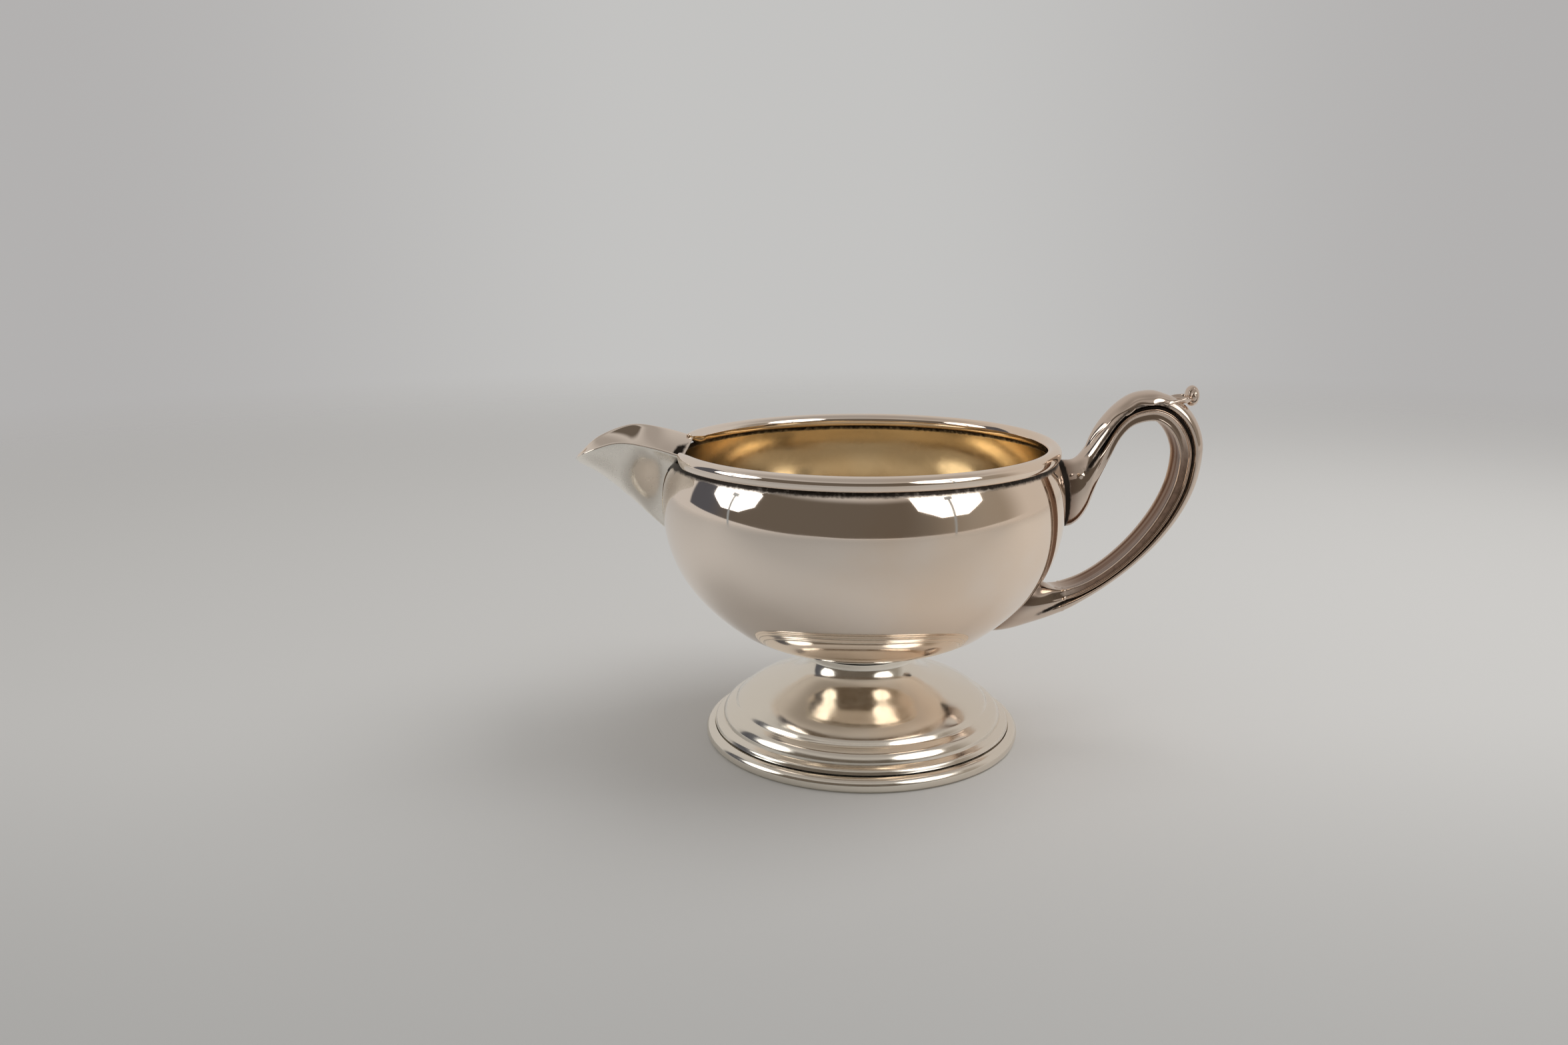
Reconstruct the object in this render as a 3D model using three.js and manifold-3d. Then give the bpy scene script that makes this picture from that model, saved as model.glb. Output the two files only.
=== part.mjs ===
// A silver cream jug on a spun foot: raised bowl, folded pouring lip, mouth wire, hollow two-part
// handle between two soldered terminals, and a leaf on top of it that ends in a thumb scroll.
// Millimetres, +Z up. The handle is at +X and the lip at -X, and the jug stands on z = 0.
import * as THREE from 'three';
import { ParametricGeometry } from 'three/addons/geometries/ParametricGeometry.js';
import { mergeVertices } from 'three/addons/utils/BufferGeometryUtils.js';
import Module from 'manifold-3d';

const wasm = await Module();
wasm.setup();

// Driving dimensions, measured from the axis of the foot.
const LIP_REACH = 70.1;
const SHEET = 0.7;
const GAP = 0.15;
const SPUN_SEGMENTS = 44;

const MOUTH_WIRE_RADIUS = 46.1;
const MOUTH_WIRE_Z = 73.5;
const MOUTH_WIRE_SECTION = 1.9;
const BOWL_TOP_Z = 71.8;
const ABOVE_RIM_Z = 78;
const BELLY_RADIUS = 49.4;
const BELLY_Z = 60.5;
const NECK_RADIUS = 13.2;
const NECK_Z = 21.7;

const FOOT_WIRE_RADIUS = 37.8;
const FOOT_WIRE_SECTION = 1.9;
const FOOT_WIRE_FLAT = THREE.MathUtils.degToRad(55);
const FOOT_RIM_Z = 3.6;

const LIP_HALF_WIDTH = 14.8;
const LIP_GAP_ANGLE = Math.asin(LIP_HALF_WIDTH / MOUTH_WIRE_RADIUS);
const CHANNEL_FROM = 0.55;
const CHANNEL_TO = 1.25;
const CHANNEL_HEIGHT = 9;

const HANDLE_HALF_WIDTH = 4.8;
const SCROLL_CENTRE = new THREE.Vector3(80.1, 0, 85.95);
const SCROLL_RADII = new THREE.Vector3(1.75, 2.6, 2.65);
const SPOON_CENTRE = new THREE.Vector3(77.0, 0, 85.3);
const SPOON_RADII = new THREE.Vector3(3.6, 3.6, 1.3);
const TERMINAL_WALL = 0.9;
const LEAF_SHEET = 0.9;
const VENT_RADIUS = 0.7;
const VENT_LENGTH = 8;
const VENT_CENTRE = new THREE.Vector3(33.5, -4, 28.6);
const CUTTER_SIZE = 200;

// Helpers -------------------------------------------------------------------------------------

function silver(color, roughness) {
  return new THREE.MeshStandardMaterial({ color, roughness, metalness: 1 });
}

function vec2(x, y) {
  return new THREE.Vector2(x, y);
}

function signedVolume(points, index) {
  const [a, b, c] = [new THREE.Vector3(), new THREE.Vector3(), new THREE.Vector3()];
  let volume = 0;
  for (let i = 0; i < index.length; i += 3) {
    a.fromArray(points, 3 * index[i]);
    b.fromArray(points, 3 * index[i + 1]);
    c.fromArray(points, 3 * index[i + 2]);
    volume += a.dot(b.cross(c)) / 6;
  }
  return volume;
}

// A closed geometry as a solid for boolean work, without its zero-area triangles, facing out.
function solid(geometry) {
  geometry.deleteAttribute('normal');
  geometry.deleteAttribute('uv');
  const merged = mergeVertices(geometry, 1e-4);
  const points = merged.attributes.position.array;
  const index = [];
  const source = merged.index.array;
  for (let i = 0; i < source.length; i += 3) {
    const [a, b, c] = [source[i], source[i + 1], source[i + 2]];
    if (a !== b && b !== c && c !== a) index.push(a, b, c);
  }
  if (signedVolume(points, index) < 0) index.reverse();
  return new wasm.Manifold(new wasm.Mesh({
    numProp: 3,
    vertProperties: Float32Array.from(points),
    triVerts: Uint32Array.from(index),
  }));
}

function mesh(name, body, material) {
  const { vertProperties, triVerts } = body.getMesh();
  const geometry = new THREE.BufferGeometry();
  geometry.setAttribute('position', new THREE.BufferAttribute(Float32Array.from(vertProperties), 3));
  geometry.setIndex(Array.from(triVerts));
  geometry.computeVertexNormals();
  const made = new THREE.Mesh(geometry, material);
  made.name = name;
  return made;
}

// An outline of (radius, height) points turned about +Z.
function turned(outline, segments = SPUN_SEGMENTS) {
  return new THREE.LatheGeometry(outline, segments).rotateX(Math.PI / 2);
}

// The same outline moved sideways by a distance, to its left as it runs.
function beside(outline, distance) {
  return outline.map((point, i) => {
    const before = outline[Math.max(i - 1, 0)];
    const after = outline[Math.min(i + 1, outline.length - 1)];
    const run = after.clone().sub(before).normalize();
    return vec2(point.x - run.y * distance, point.y + run.x * distance);
  });
}

function blend(a, b, amount) {
  return a + (b - a) * THREE.MathUtils.clamp(amount, 0, 1);
}

// A value that runs smoothly through (position, value) pairs.
function track(pairs) {
  const curve = new THREE.SplineCurve(pairs.map(([s, value]) => vec2(s, value)));
  return (s) => {
    let [low, high] = [0, 1];
    for (let i = 0; i < 24; i += 1) {
      const middle = (low + high) / 2;
      if (curve.getPoint(middle).x < s) low = middle;
      else high = middle;
    }
    return curve.getPoint((low + high) / 2).y;
  };
}

// Points of a smooth line through knots [x, z, heading in degrees, reach before, reach after]:
// a reach is how far the line keeps to the knot's heading. steps counts the points of each span.
function lineThrough(knots, steps) {
  const ends = knots.map(([x, z, heading, before, after]) => {
    const angle = THREE.MathUtils.degToRad(heading);
    const run = vec2(Math.cos(angle), Math.sin(angle));
    const at = vec2(x, z);
    const arrive = at.clone().addScaledVector(run, -before);
    const leave = at.clone().addScaledVector(run, after);
    return { at, arrive, leave };
  });
  const points = steps.flatMap((count, i) => {
    const [from, to] = [ends[i], ends[i + 1]];
    return new THREE.CubicBezierCurve(from.at, from.leave, to.arrive, to.at).getPoints(count).slice(0, -1);
  });
  return [...points, ends[ends.length - 1].at];
}

// The point of surface(t, s) moved off it along its normal.
function lifted(surface, t, s, distance, target) {
  const step = 1e-3;
  const alongT = surface(t + step, s).sub(surface(t - step, s));
  const alongS = surface(t, s + step).sub(surface(t, s - step));
  const normal = alongT.cross(alongS).normalize();
  return target.copy(surface(t, s)).addScaledVector(normal, distance);
}

// A sheet of even thickness on surface(t, s), for t and s from 0 to 1: it runs out along the
// face, back along the lifted face, and is closed at both ends along its own middle.
function sheet(surface, thickness, across, along) {
  const around = 2 * (across + 1);
  const place = (u, v, target) => {
    const column = Math.round(u * around) % around;
    const row = Math.round(v * (along + 2));
    const onFace = column <= across;
    const t = onFace ? column / across : (around - 1 - column) / across;
    const s = THREE.MathUtils.clamp((row - 1) / along, 0, 1);
    const isEnd = row === 0 || row === along + 2;
    const depth = isEnd ? thickness / 2 : (onFace ? 0 : thickness);
    lifted(surface, t, s, depth, target);
  };
  return new ParametricGeometry(place, around, along + 2);
}

// A tube wall of even thickness on surface(t, s), which closes on itself in t.
function tube(surface, thickness, around, along) {
  const rows = 2 * (along + 1);
  const place = (u, v, target) => {
    const t = (Math.round(u * around) % around) / around;
    const row = Math.round(v * rows) % rows;
    const onFace = row <= along;
    const s = onFace ? row / along : (rows - 1 - row) / along;
    lifted(surface, t, s, onFace ? 0 : thickness, target);
  };
  return new ParametricGeometry(place, around, rows);
}

// A solid inside surface(t, s), which closes on itself in t, with a fan across each end.
function plug(surface, around, along) {
  const place = (u, v, target) => {
    const t = (Math.round(u * around) % around) / around;
    const row = Math.round(v * (along + 2));
    const s = THREE.MathUtils.clamp((row - 1) / along, 0, 1);
    target.copy(surface(t, s));
    if (row === 0 || row === along + 2) {
      target.set(0, 0, 0);
      for (let i = 0; i < around; i += 1) target.addScaledVector(surface(i / around, s), 1 / around);
    }
  };
  return new ParametricGeometry(place, around, along + 2);
}

// Bowl ----------------------------------------------------------------------------------------

// Knots at the neck, in the floor's curve, at the belly and under the mouth wire.
const bowlOutline = lineThrough([
  [NECK_RADIUS - 0.6, NECK_Z + 0.15, 20, 0, 8],
  [33, 30.4, 38, 5, 10],
  [BELLY_RADIUS, BELLY_Z, 90, 15.5, 4.5],
  [46.8, BOWL_TOP_Z, 117, 4, 0],
], [6, 8, 5]);

function bowlWall() {
  const inside = beside(bowlOutline, SHEET).reverse();
  inside[0].y = BOWL_TOP_Z;
  return solid(turned([
    vec2(0, bowlOutline[0].y), ...bowlOutline, ...inside, vec2(0, bowlOutline[0].y + SHEET),
  ]));
}

// The bowl as a full body, grown outwards: what the pieces soldered to it are cut to fit.
function bowlBody(grow) {
  const outline = beside(bowlOutline, -grow);
  return solid(turned([
    vec2(0, outline[0].y), ...outline, vec2(MOUTH_WIRE_RADIUS, ABOVE_RIM_Z), vec2(0, ABOVE_RIM_Z),
  ]));
}

// Pouring lip ---------------------------------------------------------------------------------

// s runs from the tip to the bowl, and t across the sheet from one edge over the keel to the other.
const keelX = track([[0, -70.0], [0.25, -64.6], [0.5, -58.6], [0.75, -52.4], [1, -45.5]]);
const keelZ = track([[0, 71.7], [0.25, 69.1], [0.5, 64.0], [0.75, 57.7], [1, 51.2]]);
const edgeX = track([[0, -LIP_REACH], [0.25, -66.2], [0.5, -58.5], [0.75, -50.5], [1, -42.6]]);
const edgeZ = track([[0, 71.95], [0.25, 74.9], [0.5, 77.4], [0.75, 76.6], [1, 74.3]]);
const edgeY = track([[0, 0.8], [0.1, 7.6], [0.25, 11.8], [0.5, 13.6], [0.75, 14.5], [1, 15.1]]);

// The lip is a round channel in front, and narrow below and flared above where it meets the bowl.
function lipFace(t, s) {
  const side = 2 * t - 1;
  const flare = THREE.MathUtils.smoothstep(s, 0.5, 0.85);
  const roundRise = Math.abs(side) ** 1.8;
  const flaredRise = Math.abs(side) ** 1.3 * (1.45 - 0.45 * Math.abs(side));
  const rise = blend(roundRise, flaredRise, flare);
  const width = side * blend(1.2 - 0.2 * side ** 2, 0.35 + 0.65 * side ** 2, flare);
  return new THREE.Vector3(
    blend(keelX(s), edgeX(s), rise),
    edgeY(s) * width,
    blend(keelZ(s), edgeZ(s), rise),
  );
}

function pouringLip() {
  return solid(sheet(lipFace, SHEET, 14, 12)).subtract(bowlBody(GAP));
}

// The space inside the lip, which is cut out of the bowl's wall behind it.
function lipChannel() {
  const across = 12;
  const openLoop = (t, s) => {
    const column = Math.round(t * (across + 2));
    const reach = blend(CHANNEL_FROM, CHANNEL_TO, s);
    const point = new THREE.Vector3();
    lifted(lipFace, THREE.MathUtils.clamp(column - 1, 0, across) / across, reach, SHEET, point);
    if (column === 0 || column > across + 1) point.z += CHANNEL_HEIGHT;
    return point;
  };
  return solid(plug(openLoop, across + 3, 4));
}

// Mouth wire: a round wire around the mouth, flat below, with two rounded ends at the lip --------

class Arc extends THREE.Curve {
  constructor(radius, from, to) {
    super();
    Object.assign(this, { radius, from, to });
  }

  getPoint(t, target = new THREE.Vector3()) {
    const angle = blend(this.from, this.to, t);
    return target.set(this.radius * Math.cos(angle), this.radius * Math.sin(angle), 0);
  }
}

function mouthWire() {
  const endGap = LIP_GAP_ANGLE + MOUTH_WIRE_SECTION / MOUTH_WIRE_RADIUS;
  const arc = new Arc(MOUTH_WIRE_RADIUS, -Math.PI + endGap, Math.PI - endGap);
  const section = new THREE.Shape();
  section.absarc(0, 0, MOUTH_WIRE_SECTION, 0, 2 * Math.PI);
  const extrusion = { steps: 44, bevelEnabled: false, curveSegments: 5, extrudePath: arc };
  let wire = solid(new THREE.ExtrudeGeometry(section, extrusion));
  for (const t of [0, 1]) {
    const end = arc.getPoint(t);
    const cap = new THREE.SphereGeometry(MOUTH_WIRE_SECTION, 10, 6).translate(end.x, end.y, 0);
    wire = wire.add(solid(cap));
  }
  const underside = new THREE.BoxGeometry(CUTTER_SIZE, CUTTER_SIZE, CUTTER_SIZE);
  underside.translate(0, 0, BOWL_TOP_Z + GAP - MOUTH_WIRE_Z - CUTTER_SIZE / 2);
  return wire.subtract(solid(underside)).translate([0, 0, MOUTH_WIRE_Z]);
}

// Foot ----------------------------------------------------------------------------------------

const footOutline = [
  ...new THREE.SplineCurve([
    vec2(NECK_RADIUS, NECK_Z - GAP), vec2(13.3, 19.8), vec2(14.8, 17.3), vec2(18.2, 15.2),
    vec2(23.0, 13.6), vec2(27.8, 11.9), vec2(31.0, 9.9), vec2(32.1, 8.5),
  ]).getPoints(9),
  ...new THREE.SplineCurve([
    vec2(32.7, 8.3), vec2(34.2, 7.5), vec2(35.1, 6.3), vec2(35.4, 5.2),
  ]).getPoints(3),
  ...new THREE.SplineCurve([
    vec2(36.0, 5.0), vec2(37.0, 4.6), vec2(37.5, FOOT_RIM_Z),
  ]).getPoints(2),
];

function foot() {
  const inside = beside(footOutline, -SHEET).reverse();
  inside[0].y = FOOT_RIM_Z;
  inside[inside.length - 1].y = NECK_Z - GAP;
  return solid(turned([...footOutline, ...inside, footOutline[0]]));
}

// A round wire with a flat underside, on which the jug stands.
function footWire() {
  const outline = [];
  for (let i = 0; i <= 9; i += 1) {
    const angle = blend(-FOOT_WIRE_FLAT, Math.PI + FOOT_WIRE_FLAT, i / 9);
    outline.push(vec2(
      FOOT_WIRE_RADIUS + FOOT_WIRE_SECTION * Math.cos(angle),
      FOOT_WIRE_SECTION * (Math.sin(angle) + Math.sin(FOOT_WIRE_FLAT)),
    ));
  }
  return solid(turned([...outline, outline[0]]));
}

// Handle --------------------------------------------------------------------------------------

// The handle's outer and inner lines in the plane y = 0, from the bowl over the top and down to
// the tail. Knots shape the strap: at its foot, its crest, its back and its lower end. Single
// points shape the sockets before and after it. A section lies across the handle between two
// points of the same count: u runs from the inner side to the outer one, v is half of the width.
const STRAP_OUTER = [
  [54.3, 72.8, 58, 0, 8], [70.5, 87, 0, 8, 7], [83.3, 72.5, -90, 8, 20], [50.4, 31.7, -152, 12.5, 0],
];
const STRAP_INNER = [
  [57.9, 65.5, 72, 0, 9], [69.5, 80.4, 0, 7, 4], [76.9, 70.5, -90, 5, 14], [50.2, 38.3, -175, 10, 0],
];
const STRAP_STEPS = [4, 4, 7];

function rail(before, knots, after) {
  const points = [...before, ...lineThrough(knots, STRAP_STEPS), ...after];
  return new THREE.CatmullRomCurve3(points.map((point) => new THREE.Vector3(point.x, 0, point.y)));
}

const outerRail = rail(
  [vec2(46.5, 70.4), vec2(49.3, 70.3), vec2(52, 70.6)],
  STRAP_OUTER,
  [vec2(43, 28.8), vec2(34, 26.5), vec2(23.5, 27.4)],
);
const innerRail = rail(
  [vec2(46.5, 53.5), vec2(52, 54), vec2(55.5, 58)],
  STRAP_INNER,
  [vec2(46.8, 38.9), vec2(43.6, 39.7), vec2(39, 41.4)],
);

const STRAP_START = 3 / 21;
const STRAP_END = 18 / 21;
const JOINT_GAP = 0.1 / 21;
const handleWidth = track([
  [0, 6.2], [0.1, 5.4], [0.2, HANDLE_HALF_WIDTH], [0.6, HANDLE_HALF_WIDTH], [0.85, 4.9], [1, 5.0],
]);

// Half of the strap's section, from the crest of its back to the middle of its inner face: a
// rounded back, a groove along the side, a bead, and a shallow hollow that faces the fingers.
const strapOutline = new THREE.SplineCurve([
  vec2(0.5, 0), vec2(0.46, 0.42), vec2(0.32, 0.78), vec2(0.14, 0.9), vec2(-0.02, 0.8),
  vec2(-0.14, 0.9), vec2(-0.3, 1.0), vec2(-0.48, 0.86), vec2(-0.42, 0.5), vec2(-0.38, 0),
]);

function roundOutline(q) {
  return vec2(0.5 * Math.cos(Math.PI * q), Math.sin(Math.PI * q));
}

// A point of the handle's face: q from 0 to 1 goes around one half, on the side given by sign.
function handleFace(q, s, sign, isStrap) {
  const along = THREE.MathUtils.clamp(s, 0, 1);
  const [outer, inner] = [outerRail.getPoint(along), innerRail.getPoint(along)];
  const { x: u, y: v } = isStrap ? strapOutline.getPoint(q) : roundOutline(q);
  const point = inner.clone().lerp(outer, u + 0.5);
  point.y = sign * (GAP / 4 + v * (handleWidth(s) - GAP / 4));
  return point;
}

function strapHalf(sign) {
  const face = (t, s) => {
    return handleFace(THREE.MathUtils.clamp(t, 0, 1), blend(STRAP_START, STRAP_END, s), sign, true);
  };
  const beyond = new THREE.BoxGeometry(CUTTER_SIZE, CUTTER_SIZE, CUTTER_SIZE);
  beyond.translate(0, -sign * (CUTTER_SIZE - GAP / 2) / 2, 0);
  return solid(sheet(face, sign * SHEET, 10, 26)).subtract(solid(beyond));
}

// The strap as a full body, grown outwards: what the leaf is cut to fit.
function strapBody() {
  const face = (t, s) => {
    const turn = ((t % 1) + 1) % 1;
    const q = turn < 0.5 ? 2 * turn : 2 - 2 * turn;
    return handleFace(q, blend(STRAP_START, 0.5, s), turn < 0.5 ? -1 : 1, true);
  };
  const grown = (t, s) => lifted(face, t, s, GAP / 3, new THREE.Vector3());
  return solid(plug(grown, 20, 16));
}

function terminal(from, to) {
  const face = (t, s) => {
    const turn = ((t % 1) + 1) % 1;
    const isNear = turn < 0.5;
    const q = isNear ? 2 * turn : 2 - 2 * turn;
    return handleFace(q, from + (to - from) * s, isNear ? -1 : 1, false);
  };
  return solid(tube(face, -TERMINAL_WALL, 20, 7)).subtract(bowlBody(GAP));
}

function upperTerminal() {
  return terminal(0, STRAP_START - JOINT_GAP);
}

function lowerTerminal() {
  const vent = new THREE.CylinderGeometry(VENT_RADIUS, VENT_RADIUS, VENT_LENGTH, 12);
  vent.translate(...VENT_CENTRE);
  return terminal(STRAP_END + JOINT_GAP, 1).subtract(solid(vent));
}

// Leaf on top of the handle, ending in a scroll for the thumb -----------------------------------

function leaf() {
  const halfWidth = track([[0, 0.06], [0.2, 0.24], [0.5, 0.3], [0.8, 0.33], [1, 0.28]]);
  const face = (t, s) => {
    const side = 2 * t - 1;
    const lobes = 1 + 0.1 * Math.cos(6 * Math.PI * s);
    const q = Math.abs(side) * halfWidth(s) * lobes;
    const point = handleFace(q, blend(0.155, 0.41, s), side < 0 ? -1 : 1, true);
    if (q < 1e-6) point.y = 0;
    return point;
  };
  const lift = (t, s) => lifted(face, t, s, -GAP, new THREE.Vector3());
  const drape = solid(sheet(lift, -LEAF_SHEET, 10, 12));
  const scroll = new THREE.SphereGeometry(1, 14, 10).scale(...SCROLL_RADII).translate(...SCROLL_CENTRE);
  const spoon = new THREE.SphereGeometry(1, 14, 8).scale(...SPOON_RADII).translate(...SPOON_CENTRE);
  return drape.add(solid(spoon)).add(solid(scroll)).subtract(strapBody());
}

// Assembly ------------------------------------------------------------------------------------

const jug = new THREE.Group();
const pieces = [
  ['bowl', bowlWall().subtract(lipChannel()), 0xd8d2c4, 0.18],
  ['mouth_wire', mouthWire(), 0xe2ddd2, 0.15],
  ['pouring_lip', pouringLip(), 0xdcd6c8, 0.24],
  ['foot', foot(), 0xd9d2bf, 0.18],
  ['foot_wire', footWire(), 0xd9d2bf, 0.18],
  ['handle_near_half', strapHalf(-1), 0xb9aca0, 0.2],
  ['handle_far_half', strapHalf(1), 0xb9aca0, 0.2],
  ['upper_terminal', upperTerminal(), 0xc4b8ab, 0.2],
  ['lower_terminal', lowerTerminal(), 0xc4b8ab, 0.2],
  ['thumb_leaf', leaf(), 0xc4b8ab, 0.2],
];
for (const [name, body, color, roughness] of pieces) {
  jug.add(mesh(name, body, silver(color, roughness)));
}

// The origin is under the middle of the whole jug, on the surface that it stands on.
jug.position.x = -new THREE.Box3().setFromObject(jug).getCenter(new THREE.Vector3()).x;

export default jug;
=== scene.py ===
"""A silver cream jug on its foot, on a pale studio floor."""
import math
import random
import bmesh
import bpy
from mathutils import Matrix, Vector


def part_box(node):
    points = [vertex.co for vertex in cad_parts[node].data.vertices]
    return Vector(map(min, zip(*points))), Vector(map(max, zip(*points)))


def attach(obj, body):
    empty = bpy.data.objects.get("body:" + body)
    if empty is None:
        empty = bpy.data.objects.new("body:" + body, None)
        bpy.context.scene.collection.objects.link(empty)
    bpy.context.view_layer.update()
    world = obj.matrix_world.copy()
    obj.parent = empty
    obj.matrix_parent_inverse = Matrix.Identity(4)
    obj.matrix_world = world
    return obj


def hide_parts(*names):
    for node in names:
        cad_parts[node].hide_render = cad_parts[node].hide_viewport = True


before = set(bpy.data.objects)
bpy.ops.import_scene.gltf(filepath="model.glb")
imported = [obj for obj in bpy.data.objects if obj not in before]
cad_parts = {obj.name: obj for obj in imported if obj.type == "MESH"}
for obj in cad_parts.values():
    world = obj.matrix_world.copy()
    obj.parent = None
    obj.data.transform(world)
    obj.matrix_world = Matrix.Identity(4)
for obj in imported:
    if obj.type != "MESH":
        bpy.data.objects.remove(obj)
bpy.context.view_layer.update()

# Driving dimensions in millimetres, from the axis of the foot, as in the CAD model.
MM = 0.001
FOOT_LOW, FOOT_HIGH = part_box("foot")
AXIS = Vector(((FOOT_LOW.x + FOOT_HIGH.x) / 2, 0, 0))
SHEET = 0.7
MOUTH_WIRE_RADIUS = 46.1
MOUTH_WIRE_Z = 73.5
MOUTH_WIRE_SECTION = 1.85
BOWL_TOP_Z = 71.9
BELLY_RADIUS = 49.39
BELLY_Z = 60.5
NECK_RADIUS = 13.2
NECK_Z = 21.7
FOOT_WIRE_RADIUS = 37.8
FOOT_WIRE_SECTION = 1.88
WIRE_TIP_Y = 13.9
WIRE_TAPER = 7.0
HANDLE_HALF_WIDTH = 4.75
LEAF_SHEET = 0.75
SCROLL_CENTRE = Vector((80.1, 0, 85.95))
SCROLL_RADII = Vector((1.7, 2.55, 2.55))
LIP_CORNER = Vector((-46.2, 14.6, 71.6))
LIP_CUT_RADIUS = 46.3
LIP_CUT_DEPTH = 22
SEAM_STEPS = 60
SOCKET_DEPTH = 0.35
UPPER_SOCKET_Z = 62
UPPER_SOCKET_HALF_WIDTH = 6.1
UPPER_SOCKET_HALF_HEIGHT = 8.5
LEAF_POCKET = Vector((77.9, 0, 85.3))


# Shape helpers ------------------------------------------------------------------------------

def mix(a, b, amount):
    return a + (b - a) * amount


def clamp(value, low=0.0, high=1.0):
    return max(low, min(high, value))


def smooth(low, high, value):
    t = clamp((value - low) / (high - low))
    return t * t * (3 - 2 * t)


def bump(value, centre, width):
    return math.exp(-((value - centre) / width) ** 2)


def spline(points):
    """A smooth curve through points, for t from 0 to 1."""
    points = [Vector(p) for p in points]
    last = len(points) - 1
    padded = [2 * points[0] - points[1]] + points + [2 * points[-1] - points[-2]]

    def at(t):
        x = clamp(t) * last
        i = min(int(x), last - 1)
        f = x - i
        a, b, c, d = padded[i:i + 4]
        return 0.5 * (2 * b + (c - a) * f + (2 * a - 5 * b + 4 * c - d) * f * f
                      + (3 * b - a - 3 * c + d) * f ** 3)
    return at


def track(pairs):
    """A value that runs smoothly through (position, value) pairs."""
    xs = [p[0] for p in pairs]
    ys = [p[1] for p in pairs]
    last = len(xs) - 1
    slopes = []
    for i in range(last + 1):
        low, high = max(i - 1, 0), min(i + 1, last)
        slopes.append((ys[high] - ys[low]) / (xs[high] - xs[low]))

    def at(x):
        x = clamp(x, xs[0], xs[-1])
        i = max(k for k in range(last) if xs[k] <= x)
        h = xs[i + 1] - xs[i]
        f = (x - xs[i]) / h
        return ((2 * f ** 3 - 3 * f * f + 1) * ys[i] + (f ** 3 - 2 * f * f + f) * h * slopes[i]
                + (3 * f * f - 2 * f ** 3) * ys[i + 1] + (f ** 3 - f * f) * h * slopes[i + 1])
    return at


def line_through(knots, steps):
    """Points of a smooth line through knots (x, z, heading in degrees, reach before, reach after).

    A reach is how far the line keeps to the knot's heading. steps counts the points of each span.
    """
    points = []
    for start, end, count in zip(knots, knots[1:], steps):
        a, b = Vector(start[:2]), Vector(end[:2])
        leave, arrive = math.radians(start[2]), math.radians(end[2])
        out = a + Vector((math.cos(leave), math.sin(leave))) * start[4]
        back = b - Vector((math.cos(arrive), math.sin(arrive))) * end[3]
        for i in range(count):
            t = i / count
            points.append(a * (1 - t) ** 3 + 3 * out * (1 - t) ** 2 * t + 3 * back * (1 - t) * t * t
                          + b * t ** 3)
    return points + [Vector(knots[-1][:2])]


def beside(outline, distance):
    """The outline of (radius, height) points moved to its left as it runs."""
    moved = []
    for i, point in enumerate(outline):
        run = (outline[min(i + 1, len(outline) - 1)] - outline[max(i - 1, 0)]).normalized()
        moved.append(Vector((point.x - run.y * distance, point.y + run.x * distance)))
    return moved


def grid_faces(rows, columns, closed_rows=False, closed_columns=False):
    faces = []
    for r in range(rows if closed_rows else rows - 1):
        for c in range(columns if closed_columns else columns - 1):
            r2, c2 = (r + 1) % rows, (c + 1) % columns
            faces.append((r * columns + c, r * columns + c2, r2 * columns + c2, r2 * columns + c))
    return faces


def piece(name, points, faces, material, nodes=(), oxide_and_shade=None, brown=None):
    """A smooth closed mesh from points in millimetres. Its first mask gives black oxidation and
    painted shade, its second brown tarnish.
    """
    mesh = bpy.data.meshes.new(name)
    mesh.from_pydata([AXIS + Vector(p) * MM for p in points], [], faces)
    for label, amounts in (("oxide_and_shade", oxide_and_shade), ("brown", brown)):
        layer = mesh.attributes.new(label, "FLOAT", "POINT")
        if callable(amounts):
            amounts = [clamp(amounts(p)) for p in points]
        layer.data.foreach_set("value", amounts or [0.0] * len(points))
    edit = bmesh.new()
    edit.from_mesh(mesh)
    bmesh.ops.remove_doubles(edit, verts=edit.verts, dist=1e-7)
    bmesh.ops.recalc_face_normals(edit, faces=edit.faces)
    edit.to_mesh(mesh)
    edit.free()
    mesh.shade_smooth()
    mesh.set_sharp_from_angle(angle=math.radians(50))
    made = bpy.data.objects.new(name, mesh)
    bpy.context.collection.objects.link(made)
    made.data.materials.append(material)
    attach(made, "root")
    if nodes:
        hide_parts(*nodes)
    return made


def turned_points(outline, segments):
    points = []
    for i in range(segments):
        angle = 2 * math.pi * i / segments
        c, s = math.cos(angle), math.sin(angle)
        points += [Vector((p.x * c, p.x * s, p.y)) for p in outline]
    return points


def lifted(surface, t, s, distance):
    """The point of surface(t, s) moved off it along its normal."""
    step = 1e-3
    along_t = surface(t + step, s) - surface(t - step, s)
    along_s = surface(t, s + step) - surface(t, s - step)
    return surface(t, s) + along_t.cross(along_s).normalized() * distance


def sheet_rows(surface, thickness, across, stations, rounding=6):
    """Rows of a sheet of even thickness with rounded long edges. thickness may be negative."""
    rows = []
    for s in stations:
        face = [surface(i / across, s) for i in range(across + 1)]
        back = [lifted(surface, i / across, s, thickness) for i in range(across + 1)]
        row = list(face)
        edges = ((face[-1], back[-1], face[-1] - face[-2]), (back[0], face[0], face[0] - face[1]))
        for a, b, toward in edges:
            centre, arm = (a + b) / 2, (a - b) / 2
            out = toward - arm * (toward.dot(arm) / max(arm.length_squared, 1e-12))
            out = out.normalized() * arm.length
            arc = []
            for k in range(1, rounding):
                angle = math.pi * k / rounding
                arc.append(centre + arm * math.cos(angle) + out * math.sin(angle))
            if a is face[-1]:
                row += arc + back[::-1]
            else:
                row += arc
        rows.append(row)
    return rows


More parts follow.
